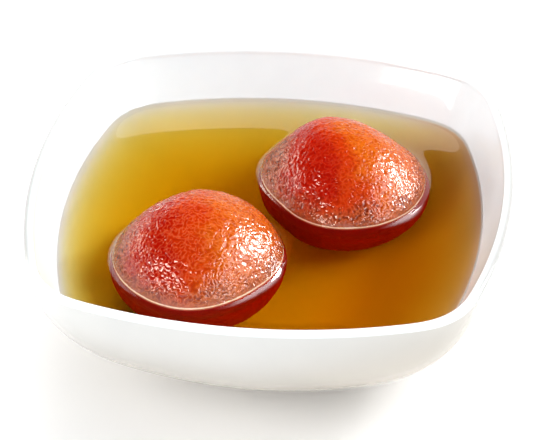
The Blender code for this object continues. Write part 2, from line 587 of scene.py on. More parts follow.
def build_waterline() -> bpy.types.NodeTree:
    """1 below a level and 0 above it, with a ragged edge between."""
    usual = {"Place": None, "Level": 0.0, "Blur": 0.5 * MM, "Raggedness": 0.3 * MM, "Scale": 500.0}
    graph, given, end = new_group(Effect.WATERLINE.value, usual, "Below")
    height = graph.axes(given["Place"])["Z"]
    ripple = graph.noise(given["Place"], given["Scale"], detail=2.0)
    swing = graph.math("SUBTRACT", ripple, NOISE_MIDDLE)
    ragged = graph.math("MULTIPLY_ADD", swing, given["Raggedness"], height)
    depth = graph.math("DIVIDE", graph.math("SUBTRACT", given["Level"], ragged), given["Blur"])
    graph.feed(end, {"Below": graph.fade(depth, -1.0, 1.0)})
    return graph.tree


def build_wrinkles() -> bpy.types.NodeTree:
    """The short, steep, winding wrinkles of a fried skin, as heights from 0 to 1."""
    usual = {"Place": None, "Scale": 1000.0, "Winding": 0.7 * MM, "Fineness": 0.4}
    graph, given, end = new_group(Effect.WRINKLES.value, usual, "Height")
    broad = graph.times(given["Scale"], WINDING_SCALE)
    winding = {"Vector": given["Place"], "Scale": broad, "Detail": 1.0}
    sway = graph.add("ShaderNodeTexNoise", winding).outputs["Color"]
    offset = graph.vector("SUBTRACT", sway, (NOISE_MIDDLE,) * 3)
    scaled = {0: offset, "Scale": given["Winding"]}
    drift = graph.add("ShaderNodeVectorMath", scaled, operation="SCALE").outputs["Vector"]
    bent = graph.vector("ADD", given["Place"], drift)
    wave = graph.noise(bent, given["Scale"], detail=0.0)
    ridge = graph.math("ABSOLUTE", graph.math("SUBTRACT", wave, NOISE_MIDDLE))
    crease = graph.rest_of(graph.times(ridge, CREASE_STEEPNESS))
    pimples = graph.noise(bent, graph.times(given["Scale"], PIMPLE_SCALE), detail=1.0)
    coarse = graph.times(crease, graph.rest_of(given["Fineness"]))
    fine = graph.times(pimples, given["Fineness"])
    graph.feed(end, {"Height": graph.math("ADD", coarse, fine)})
    return graph.tree


def new_material(name: str) -> tuple[bpy.types.Material, Graph, bpy.types.Node, bpy.types.Node]:
    """A material with one Principled shader on its output.

    Args:
        name: The material's name.

    Returns:
        The material, its graph, its Principled node and its output node.
    """
    material = bpy.data.materials.new(name)
    material.use_nodes = True
    nodes = material.node_tree.nodes
    return material, Graph(material.node_tree), nodes["Principled BSDF"], nodes["Material Output"]


def place_in_object(graph: Graph) -> bpy.types.NodeSocket:
    """The shaded point's place in its object, in metres."""
    return graph.add("ShaderNodeTexCoord").outputs["Object"]


@dataclass(frozen=True)
class GlazedPorcelain:
    """White porcelain under a clear glaze.

    The inside is painted a brighter, cooler white than the outside, and the outside darker and
    warmer
    low down, higher up on the right (+X): lit and shaded copies of one glaze, painted shade. The
    outer edge of the lip is painted darker, except in front: a painted shade line. The foot is bare
    where it stands, and under the syrup the bowl is painted darker amber towards the right: painted
    shade.
    A step is where something starts and where it is full.
    """

    # The outside's colour is painted darker than the inside's, and darker and warmer still low
    # down: painted shade.
    glazed: Colour = (0.70, 0.705, 0.69)
    lit_inside: Colour = (0.86, 0.915, 0.94)
    shaded_low_outside: Colour = (0.49, 0.445, 0.375)
    bare: Colour = (0.74, 0.71, 0.64)
    # Painted shade along the outer edge of the lip.
    edge: Colour = (0.48, 0.48, 0.47)
    # Painted shade: the darker amber of the bowl under the syrup.
    shade_tint: Colour = (0.86, 0.58, 0.42)
    cloudy: Colour = (0.97, 0.97, 0.975)
    cloud_scale: float = 45.0
    outside_shade_step: Step = (10.0 * MM, 46.0 * MM)
    outside_shade_slant: float = -0.35
    shade_step: Step = (4.0 * MM, 42.0 * MM)
    shade_slant: float = -0.25
    lip_step: Step = (44.4 * MM, 45.8 * MM)
    lip_facing: Step = (-0.9, 0.8)
    lip_behind: Step = (-52.0 * MM, -34.0 * MM)
    inside_facing: Step = (0.0, 0.06)
    syrup_level: float = 34.0 * MM
    syrup_blur: float = 0.4 * MM
    bare_height: float = 0.7 * MM
    bare_blur: float = 0.25 * MM
    bare_scale: float = 900.0
    bare_roughness: float = 0.6
    roughness: float = 0.07
    wave_scale: float = 110.0
    wave_strength: float = 0.05
    wave_depth: float = 0.3 * MM
    ior: float = 1.5

    def rim_shade(
        self, graph: Graph, parts: bpy.types.bpy_prop_collection, facing: bpy.types.NodeSocket
    ) -> bpy.types.NodeSocket:
        """Where the outer edge of the lip is painted darker, except in front: a painted shade line.

        Args:
            graph: The material's graph.
            parts: The shaded point's X, Y and Z.
            facing: The surface's direction.

        Returns:
            The mask's socket.
        """
        level = graph.add("ShaderNodeCombineXYZ", {"X": parts["X"], "Y": parts["Y"]}).outputs[0]
        turned_out = graph.vector("DOT_PRODUCT", facing, graph.vector("NORMALIZE", level))
        faces_out = graph.fade(turned_out, *self.lip_facing)
        shaded_rim = graph.times(faces_out, graph.fade(parts["Z"], *self.lip_step))
        return graph.times(shaded_rim, graph.fade(parts["Y"], *self.lip_behind))

    def material(self) -> bpy.types.Material:
        """The finish as a material."""
        material, graph, shader, _ = new_material("glazed_porcelain")
        place = place_in_object(graph)
        parts = graph.axes(place)
        facing = graph.add("ShaderNodeTexCoord").outputs["Normal"]
        is_inside = graph.fade(graph.axes(facing)["Z"], *self.inside_facing)
        # Painted shade: the outside darkens towards the bottom, higher up on the right, and the
        # inside is painted lighter and cooler.
        right = graph.math("MAXIMUM", parts["X"], 0.0)
        slanted = graph.math("MULTIPLY_ADD", right, self.outside_shade_slant, parts["Z"])
        outside = graph.mix(graph.fade(slanted, *self.outside_shade_step), self.shaded_low_outside, self.glazed)
        body = graph.mix(is_inside, outside, self.lit_inside)
        # Painted shade: a darker line along the lip's outer edge, except in front.
        body = graph.mix(self.rim_shade(graph, parts, facing), body, self.edge)
        cloud = Effect.CLOUD.place(graph, {"Place": place, "Scale": self.cloud_scale})
        body = graph.multiply(body, graph.mix(cloud, WHITE, self.cloudy))
        line = {"Place": place, "Level": self.syrup_level, "Blur": self.syrup_blur}
        wetted = graph.times(Effect.WATERLINE.place(graph, line), is_inside)
        # Painted shade: under the syrup the bowl is painted darker amber towards the right and the
        # front.
        across = graph.math("MULTIPLY_ADD", parts["Y"], self.shade_slant, parts["X"])
        shade_under_syrup = graph.times(wetted, graph.fade(across, *self.shade_step))
        body = graph.multiply(body, graph.mix(shade_under_syrup, WHITE, self.shade_tint))
        line = {"Place": place, "Level": self.bare_height, "Blur": self.bare_blur}
        is_bare = Effect.WATERLINE.place(graph, line | {"Scale": self.bare_scale})
        dull = graph.math("MAXIMUM", wetted, graph.times(is_bare, self.bare_roughness))
        finish = {
            "Base Color": graph.mix(is_bare, body, self.bare),
            "Roughness": graph.math("MULTIPLY_ADD", dull, 1.0 - self.roughness, self.roughness),
            "IOR": self.ior,
        }
        graph.feed(shader, finish)
        waves = graph.noise(place, self.wave_scale, detail=2.0)
        graph.bump(shader, waves, self.wave_strength, self.wave_depth)
        return material


@dataclass(frozen=True)
class SugarSyrup:
    """Clear amber syrup with a glossy skin, which colours light by its way through it."""

    absorbed: Colour = (0.985, 0.853, 0.0)
    density: float = 115.0
    ior: float = 1.45
    skin: float = 0.7
    skin_ior: float = 1.5
    swirl_scale: float = 60.0
    swirl_strength: float = 0.02
    swirl_depth: float = 0.3 * MM

    def material(self) -> bpy.types.Material:
        """The finish as a material."""
        material, graph, shader, output = new_material("amber_sugar_syrup")
        finish = {
            "Base Color": WHITE,
            "Transmission Weight": 1.0,
            "IOR": self.ior,
            "Roughness": 0.0,
            "Coat Weight": self.skin,
            "Coat IOR": self.skin_ior,
        }
        graph.feed(shader, finish)
        swirl = graph.noise(place_in_object(graph), self.swirl_scale, detail=1.0)
        graph.bump(shader, swirl, self.swirl_strength, self.swirl_depth)
        path = graph.add("ShaderNodeLightPath")
        clear = graph.add("ShaderNodeBsdfTransparent")
        seen = {0: path.outputs["Is Shadow Ray"], 1: shader.outputs[0], 2: clear.outputs[0]}
        either = graph.add("ShaderNodeMixShader", seen)
        inside = {"Color": self.absorbed, "Density": self.density}
        volume = graph.add("ShaderNodeVolumeAbsorption", inside)
        graph.feed(output, {"Surface": either.outputs[0], "Volume": volume.outputs[0]})
        return material


@dataclass(frozen=True)
class FriedSkin:
    """The wet, finely wrinkled skin of a fried dough ball that has soaked in syrup.

    It browned unevenly: one side is pale orange and the other deep red. A bearing is the angle from
    +X towards +Y and the angle above the level, in degrees. A step is where something starts and
    where it is full.
    """

    name: str
    middle: tuple[float, float, float]
    pale_side: Bearing
    deep_side: Bearing
    crest_highlight_share: float
    dry_side: Bearing = (178.0, 15.0)
    waterline: float = 35.7 * MM
    deep: Colour = (0.40, 0.007, 0.0005)
    warm: Colour = (0.52, 0.034, 0.001)
    orange: Colour = (0.59, 0.11, 0.003)
    # Beige low down and on the left: partly paler dry skin, partly a painted sheen.
    pale_and_sheen: Colour = (0.38, 0.095, 0.030)
    # Dark soaked red under the syrup: partly the soaked skin's colour, partly painted shade.
    soaked: Colour = (0.33, 0.002, 0.0005)
    # Painted shade: the darker colours of the wrinkles' hollows.
    hollow_shade: Colour = (0.78, 0.60, 0.50)
    dry_hollow_shade: Colour = (0.30, 0.13, 0.09)
    # Painted highlight: the pale colour of the wrinkles' crests.
    crest_highlight: Colour = (0.78, 0.30, 0.13)
    # Painted highlight: the pale line where the syrup's edge meets the skin.
    ring: Colour = (0.95, 0.68, 0.50)
    patch_scale: float = 75.0
    patch_swing: float = 1.1
    browning: float = 0.27
    shade_stops: tuple[float, float, float] = (0.05, 0.4, 0.85)
    pale_step: Step = (0.2, 0.95)
    pale_weight: float = 0.60
    deep_step: Step = (0.66, 0.97)
    deep_weight: float = 0.45
    low_step: Step = (0.35, 0.62)
    low_swing: float = 0.6
    dry_step: Step = (0.74, 0.95)
    dry_swing: float = 0.3
    dry_share: float = 0.8
    dry_relief: float = 0.8
    hollow_shade_step: Step = (0.25, 0.85)
    crest_highlight_step: Step = (0.55, 0.95)
    highlight_line_height: float = 36.1 * MM
    highlight_line_edge: Step = (0.08 * MM, 0.28 * MM)
    highlight_line_share: float = 0.9
    line_blur: float = 0.25 * MM
    line_raggedness: float = 0.2 * MM
    line_scale: float = 200.0
    film: float = 0.8
    film_height: float = 1.5 * MM
    film_raggedness: float = 1.6 * MM
    film_scale: float = 160.0
    film_smoothing: float = 0.85
    film_roughness: float = 0.07
    roughness: float = 0.12
    ior: float = 1.46
    specular: float = 0.75
    subsurface: float = 0.2
    subsurface_radius: Colour = (1.0, 0.25, 0.06)
    subsurface_depth: float = 1.5 * MM
    wrinkle_scale: float = 1000.0
    wrinkle_winding: float = 1.0 * MM
    wrinkle_depth: float = 0.16 * MM

    def browned(
        self, graph: Graph, place: bpy.types.NodeSocket
    ) -> tuple[bpy.types.NodeSocket, bpy.types.NodeSocket]:
        """The skin's colour: patchy, deep red on one side, orange on another, and beige low down
        and on the left, partly paler dry skin and partly a painted sheen of the white bowl.

        Args:
            graph: The material's graph.
            place: The shaded point's place.

        Returns:
            The colour's socket, and how dry the skin is, from 0 to 1.
        """
        way = graph.vector("NORMALIZE", graph.vector("SUBTRACT", place, self.middle))
        pale, deep, left = (
            graph.vector("DOT_PRODUCT", way, bearing_way(*side))
            for side in (self.pale_side, self.deep_side, self.dry_side)
        )
        patches = graph.noise(place, self.patch_scale, detail=4.0, roughness=0.62)
        swing = graph.math("MULTIPLY_ADD", patches, self.patch_swing, -self.patch_swing / 2)
        paler = graph.times(graph.fade(pale, *self.pale_step), self.pale_weight)
        deeper = graph.times(graph.fade(deep, *self.deep_step), self.deep_weight)
        value = graph.math("SUBTRACT", graph.math("ADD", swing, paler), deeper)
        stops = tuple(zip(self.shade_stops, (self.deep, self.warm, self.orange)))
        colour = graph.ramp(graph.math("ADD", value, self.browning), stops)
        # Beige low down and on the left: partly paler dry skin, partly a painted sheen of the white
        # bowl.
        ragged = graph.math("ADD", graph.axes(way)["Z"], graph.times(swing, self.low_swing))
        low = graph.rest_of(graph.fade(ragged, *self.low_step))
        left = graph.math("ADD", left, graph.times(swing, self.dry_swing))
        dry = graph.math("MAXIMUM", low, graph.fade(left, *self.dry_step))
        return graph.mix(graph.times(dry, self.dry_share), colour, self.pale_and_sheen), dry

    def material(self) -> bpy.types.Material:
        """The finish as a material."""
        material, graph, shader, _ = new_material(self.name)
        place = place_in_object(graph)
        line = {
            "Place": place,
            "Level": self.waterline,
            "Blur": self.line_blur,
            "Raggedness": self.line_raggedness,
            "Scale": self.line_scale,
        }
        below = Effect.WATERLINE.place(graph, line)
        film = {
            "Place": place,
            "Level": self.waterline + self.film_height,
            "Blur": self.film_height,
            "Raggedness": self.film_raggedness,
            "Scale": self.film_scale,
        }
        under_film = Effect.WATERLINE.place(graph, film)
        pattern = {"Place": place, "Scale": self.wrinkle_scale, "Winding": self.wrinkle_winding}
        wrinkles = Effect.WRINKLES.place(graph, pattern)
        bare = graph.math("MULTIPLY_ADD", under_film, -self.film_smoothing, 1.0)
        colour, dry = self.browned(graph, place)
        # Painted shade: the wrinkles' hollows are painted darker, most where the skin is dry.
        hollow = graph.times(graph.rest_of(graph.fade(wrinkles, *self.hollow_shade_step)), bare)
        hollow_shade = graph.mix(dry, self.hollow_shade, self.dry_hollow_shade)
        colour = graph.multiply(colour, graph.mix(hollow, WHITE, hollow_shade))
        # Painted highlight: the wrinkles' crests are painted paler, as sheen.
        crest_highlight = graph.times(graph.fade(wrinkles, *self.crest_highlight_step), bare)
        colour = graph.mix(graph.times(crest_highlight, self.crest_highlight_share), colour, self.crest_highlight)
        # Painted highlight: a pale line round the skin at the syrup's edge.
        off = graph.math("SUBTRACT", graph.axes(place)["Z"], self.highlight_line_height)
        ring = graph.rest_of(graph.fade(graph.math("ABSOLUTE", off), *self.highlight_line_edge))
        colour = graph.mix(graph.times(ring, self.highlight_line_share), colour, self.ring)
        above = graph.math("MULTIPLY_ADD", below, -1.0, 1.0)
        finish = {
            # Under the syrup the skin is painted dark red: partly soaked colour, partly painted
            # shade.
            "Base Color": graph.mix(below, colour, self.soaked),
            "Roughness": graph.math("MULTIPLY_ADD", below, 1.0 - self.roughness, self.roughness),
            "IOR": self.ior,
            "Specular IOR Level": self.specular,
            "Coat Weight": graph.times(graph.times(above, under_film), self.film),
            "Coat Roughness": self.film_roughness,
            "Coat IOR": self.ior,
            "Subsurface Weight": self.subsurface,
            "Subsurface Radius": self.subsurface_radius,
            "Subsurface Scale": self.subsurface_depth,
        }
        graph.feed(shader, finish)
        deeper = graph.times(graph.math("MULTIPLY_ADD", dry, self.dry_relief, 1.0), bare)
        graph.bump(shader, graph.times(wrinkles, deeper), 1.0, self.wrinkle_depth)
        return material


@dataclass(frozen=True)
class PaleFloor:
    """A plain matt floor, nearly white, lit a little from below as a light table is."""

    colour: Colour = (0.84, 0.84, 0.84)
    lighter: float = 1.02
    cloud_scale: float = 6.0
    roughness: float = 0.9
    specular: float = 0.1
    glow: float = 0.14

    def material(self) -> bpy.types.Material:
        """The finish as a material."""
        material, graph, shader, _ = new_material("pale_floor")
        sockets = {"Place": place_in_object(graph), "Scale": self.cloud_scale}
        cloud = Effect.CLOUD.place(graph, sockets)
        lighter = tuple(self.lighter * part for part in self.colour)
        finish = {
            "Base Color": graph.mix(cloud, self.colour, lighter),
            "Roughness": self.roughness,
            "Specular IOR Level": self.specular,
            "Emission Color": WHITE,
            "Emission Strength": self.glow,
        }
        graph.feed(shader, finish)
        return material


# ---------------------------------------------------------------------------------------------
# The bowl
# ---------------------------------------------------------------------------------------------


@dataclass
class GlazedBowl:
    """The rounded square bowl on its foot ring."""

    shape: BowlShape
    finish: GlazedPorcelain = GlazedPorcelain()
    foot_ring_width: float = 3.6 * MM
    foot_rounding: float = 0.6 * MM
    lip_steps: int = 14
    neck_steps: int = 4
    rounding_steps: int = 6
    floor_rings: int = 10
    recess_rings: int = 8
    turn_steps: int = 288
    corner_crowding: float = 0.45

    def lip(self, inner: Array, outer: Array) -> Array:
        """The lip's round top.

        Args:
            inner: Where the inner wall ends.
            outer: Where the outer wall begins.

        Returns:
            (radius, height) rows from the inner wall over to the outer, without either.
        """
        middle, radius = (inner + outer) / 2, np.linalg.norm(outer - inner) / 2
        return arc(tuple(middle), radius, 180.0, 0.0, self.lip_steps)[1:-1]

    def foot(self) -> Array:
        """The foot ring, from under the outer wall to the recess inside the ring."""
        outside = self.shape.foot_half_width
        inside = outside - self.foot_ring_width
        rounding, top = self.foot_rounding, self.shape.foot_height
        neck, steps = rounding / 2, self.rounding_steps
        return np.vstack(
            [
                arc((outside + neck, top - neck), neck, 90.0, 180.0, self.neck_steps),
                arc((outside - rounding, rounding), rounding, 0.0, -90.0, steps),
                arc((inside + rounding, rounding), rounding, -90.0, -180.0, steps),
                arc((inside - rounding, top - rounding), rounding, 0.0, 90.0, steps),
            ]
        )

    def profile(self) -> Array:
        """The bowl's half section, from the middle of its floor to the middle underneath."""
        inner, outer = self.shape.inner_wall(), self.shape.outer_wall()
        floor_edge = inner[-1]
        spokes = np.linspace(0.0, floor_edge[0], self.floor_rings)[:-1]
        floor = np.stack([spokes, np.full_like(spokes, self.shape.floor)], axis=1)
        inside = self.shape.foot_half_width - self.foot_ring_width - self.foot_rounding
        under = np.linspace(inside, 0.0, self.recess_rings)[1:]
        recess = np.stack([under, np.full_like(under, self.shape.foot_height)], axis=1)
        lip = self.lip(inner[0], outer[0])
        return np.vstack([floor, inner[::-1], lip, outer[:-1], self.foot(), recess])

    def build(self) -> bpy.types.Object:
        """The bowl, as one closed piece that stands for its solid."""
        angles = even_angles(self.turn_steps, self.corner_crowding)
        mesh = turned(self.shape, self.profile(), angles)
        # Turned round, the faces look into the clay.
        inward = MeshData(mesh.points, [face[::-1] for face in mesh.faces])
        bowl = inward.to_object("bowl_piece", self.finish.material())
        dress(bowl, "bowl")
        return bowl


def dress(piece: bpy.types.Object, node: str) -> None:
    """Join a piece to the frame.

    Args:
        piece: The finished piece.
        node: The solid that it stands for.
    """
    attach(piece, "root")
    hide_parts(node)


# ---------------------------------------------------------------------------------------------
# The gulab jamun
# ---------------------------------------------------------------------------------------------


@dataclass(frozen=True)
class Lump:
    """A soft rise, or a dent where the height is negative, round one direction of a ball."""

    azimuth: float
    elevation: float
    height: float
    spread: float

    def at(self, directions: Array) -> Array:
        """Height of the lump.

        Args:
            directions: Unit rows.

        Returns:
            The height along each.
        """
        peak = np.array(bearing_way(self.azimuth, self.elevation))
        away = np.degrees(np.arccos(np.clip(directions @ peak, -1.0, 1.0))) / self.spread
        return self.height * MM * np.exp(-(away**2))


def ease(share: Array) -> Array:
    """Shares held between 0 and 1 and eased at both ends."""
    share = np.clip(share, 0.0, 1.0)
    return share * share * (3 - 2 * share)


def sphere_rows(azimuths: Array, elevations: Array) -> Array:
    """Unit rows in the given directions, in radians."""
    level = np.cos(elevations)
    return np.stack([level * np.cos(azimuths), level * np.sin(azimuths), np.sin(elevations)], 1)


@dataclass(frozen=True)
class JamunShape:
    """A ball's middle, radius, girth and lumps, and how it settles on the bowl.

    Round its middle it has a shoulder, at about the syrup's level, and under that it is tucked in.
    """

    centre: tuple[float, float, float]
    radius: float
    shoulder: float
    tuck: float
    lumps: tuple[Lump, ...]
    shoulder_at: float = 20.0
    shoulder_spread: float = 12.0
    tuck_start: float = 22.0
    tuck_full: float = 4.0
    rest_start: float = -35.0
    rest_full: float = -75.0
    halvings: int = 26

    def girth(self, directions: Array) -> Array:
        """How much the shoulder and the tuck add to the radius.

        Args:
            directions: Unit rows.

        Returns:
            The height along each.
        """
        elevation = np.degrees(np.arcsin(np.clip(directions[:, 2], -1.0, 1.0)))
        bulge = np.exp(-(((elevation - self.shoulder_at) / self.shoulder_spread) ** 2))
        under = ease((self.tuck_start - elevation) / (self.tuck_start - self.tuck_full))
        rest = ease((self.rest_start - elevation) / (self.rest_start - self.rest_full))
        return self.shoulder * bulge - self.tuck * under * (1 - rest)

    def reach(self, directions: Array) -> Array:
        """Distance from the middle to the smooth skin along unit rows, before the ball settles."""
        lumps = sum(lump.at(directions) for lump in self.lumps)
        return self.radius + self.girth(directions) + lumps

    def settled(self, directions: Array, bowl: BowlShape, gap: float, inset: float = 0.0) -> Array:
        """Distance from the middle to the skin, stopped short where the bowl is in the way.

        Args:
            directions: Unit rows.
            bowl: The bowl that the ball rests on.
            gap: The least distance to the bowl's inside.
            inset: How far to stay inside the skin.

        Returns:
            The distance along each.
        """
        centre = np.array(self.centre)
        blocked = self.reach(directions) - inset
        section = bowl.inner_wall(gap)
        floor = section[-1, 1]

        def inside(reach: Array) -> Array:
            """Whether each point is clear of the bowl.

            Args:
                reach: The points' distances from the middle.

            Returns:
                True where it is.
            """
            points = centre + reach[:, None] * directions
            angle = np.arctan2(points[:, 1], points[:, 0])
            limit = bowl.inner_reach(angle, points[:, 2], gap)
            return (points[:, 2] > floor) & (np.hypot(points[:, 0], points[:, 1]) < limit)

        low, high = np.zeros_like(blocked), blocked
        for _ in range(self.halvings):
            middle = (low + high) / 2
            is_clear = inside(middle)
            low, high = np.where(is_clear, middle, low), np.where(is_clear, high, middle)
        return np.where(inside(blocked), blocked, low)


def cube_sphere(steps: int) -> tuple[Array, list[Face]]:
    """Directions spread evenly over a ball, with quads between them.

    Args:
        steps: Quads along each edge of the cube that the ball is blown up from.

    Returns:
        Unit rows and faces that look outward.
    """
    along = np.tan(np.linspace(-math.pi / 4, math.pi / 4, steps + 1))
    first, second = (grid.ravel() for grid in np.meshgrid(along, along, indexing="ij"))
    ones = np.ones_like(first)
    sides = (
        (ones, first, second), (-ones, second, first), (second, ones, first),
        (first, -ones, second), (first, second, ones), (second, first, -ones),
    )  # fmt: skip
    points = np.vstack([np.stack(side, axis=1) for side in sides])
    keys = np.round(points * WELDS_PER_UNIT).astype(np.int64)
    _, kept, index = np.unique(keys, axis=0, return_index=True, return_inverse=True)
    numbers = index.reshape(len(sides), steps + 1, steps + 1)
    corners = (numbers[:, :-1, :-1], numbers[:, 1:, :-1], numbers[:, 1:, 1:], numbers[:, :-1, 1:])
    faces = [tuple(face) for face in np.stack(corners, axis=-1).reshape(-1, 4).tolist()]
    directions = points[kept] / np.linalg.norm(points[kept], axis=1, keepdims=True)
    return directions, faces


@dataclass
class GulabJamun:
    """One fried ball with its wrinkled skin."""

    name: str
    shape: JamunShape
    seed: float
    steps: int = 125
    gap: float = 0.1 * MM
    swell: float = 0.18 * MM
    wrinkle: float = 0.12 * MM
    pucker: float = 0.14 * MM
    pimple: float = 0.06 * MM
    bend: float = 1.2
    bend_scale: float = 0.4
    swell_scale: float = 0.16
    pucker_scale: float = 0.42
    wrinkle_scale: float = 0.85
    pimple_scale: float = 1.5
    pressed_fade: float = 0.3 * MM
    film_level: float = 35.2 * MM
    film_spread: float = 1.3 * MM
    film_smoothing: float = 0.8

    def relief(self, directions: Array) -> Array:
        """Height of the skin's wrinkles over the smooth ball.

        Args:
            directions: Unit rows.

        Returns:
            The height along each.
        """
        heights = np.empty(len(directions))
        shift = Vector((self.seed, -self.seed, 0.5 * self.seed))
        scale = self.shape.radius / MM
        for index, direction in enumerate(directions.tolist()):
            where = Vector(direction) * scale + shift
            bent = where + noise.noise_vector(where * self.bend_scale) * self.bend
            ridge = 1.0 - 2.0 * abs(noise.noise(bent * self.wrinkle_scale + shift))
            heights[index] = (
                self.swell * noise.noise(where * self.swell_scale)
                + self.pucker * noise.noise(bent * self.pucker_scale)
                + self.wrinkle * ridge
                + self.pimple * noise.noise(where * self.pimple_scale)
            )
        return heights

    def build(self, bowl: BowlShape, skin: bpy.types.Material) -> bpy.types.Object:
        """The ball, as one closed piece that stands for its solid.

        Args:
            bowl: The bowl that it rests on.
            skin: The skin's material.

        Returns:
            The piece.
        """
        directions, faces = cube_sphere(self.steps)
        smooth = self.shape.settled(directions, bowl, self.gap)
        pressed = self.shape.reach(directions) - smooth
        free = np.clip(1.0 - pressed / self.pressed_fade, 0.0, 1.0)
        height = self.shape.centre[2] + smooth * directions[:, 2]
        under_film = np.exp(-(((height - self.film_level) / self.film_spread) ** 2))
        bare = 1.0 - self.film_smoothing * under_film
        reach = smooth + self.relief(directions) * free * bare
        points = np.array(self.shape.centre) + reach[:, None] * directions
        piece = MeshData(points, faces).to_object(self.name + "_piece", skin)
        dress(piece, self.name)
        return piece


LEFT_JAMUN = JamunShape(
    centre=(-16.0 * MM, -18.1 * MM, 27.6 * MM),
    radius=22.7 * MM,
    shoulder=0.0,
    tuck=2.8 * MM,
    lumps=(
        Lump(azimuth=143, elevation=44, height=-1.0, spread=25),
        Lump(azimuth=-38, elevation=16, height=-1.3, spread=28),
        Lump(azimuth=-94, elevation=16, height=0.7, spread=20),
    ),
)
RIGHT_JAMUN = JamunShape(
    centre=(16.4 * MM, 17.6 * MM, 28.5 * MM),
    radius=21.2 * MM,
    shoulder=1.2 * MM,
    tuck=1.1 * MM,
    lumps=(
        Lump(azimuth=0, elevation=-90, height=1.2, spread=45),
        Lump(azimuth=48, elevation=41, height=-1.5, spread=30),
        Lump(azimuth=126, elevation=50, height=0.8, spread=22),
        Lump(azimuth=169, elevation=22, height=0.6, spread=18),
        Lump(azimuth=-140, elevation=15, height=-1.4, spread=24),
        Lump(azimuth=-46, elevation=15, height=1.0, spread=28),
        Lump(azimuth=-90, elevation=18, height=0.6, spread=25),
    ),
)


# ---------------------------------------------------------------------------------------------
# The syrup
# ---------------------------------------------------------------------------------------------


@dataclass(frozen=True)
class Meniscus:
    """The curve by which a liquid climbs what it wets."""

    rise: float
    capillary_length: float = 1.5 * MM
    lowest_share: float = 1e-4
    samples: int = 200

    def height(self, away: Array) -> Array:
        """Height above the level surface.

        Args:
            away: Distances from the wetted face.

        Returns:
            The height at each distance.
        """
        heights = np.geomspace(self.rise, self.rise * self.lowest_share, self.samples)
        share = self.capillary_length / heights
        run = np.arccosh(2 * share) - np.sqrt(4 - 1 / share**2)
        return np.interp(away, self.capillary_length * (run - run[0]), heights, right=0.0)


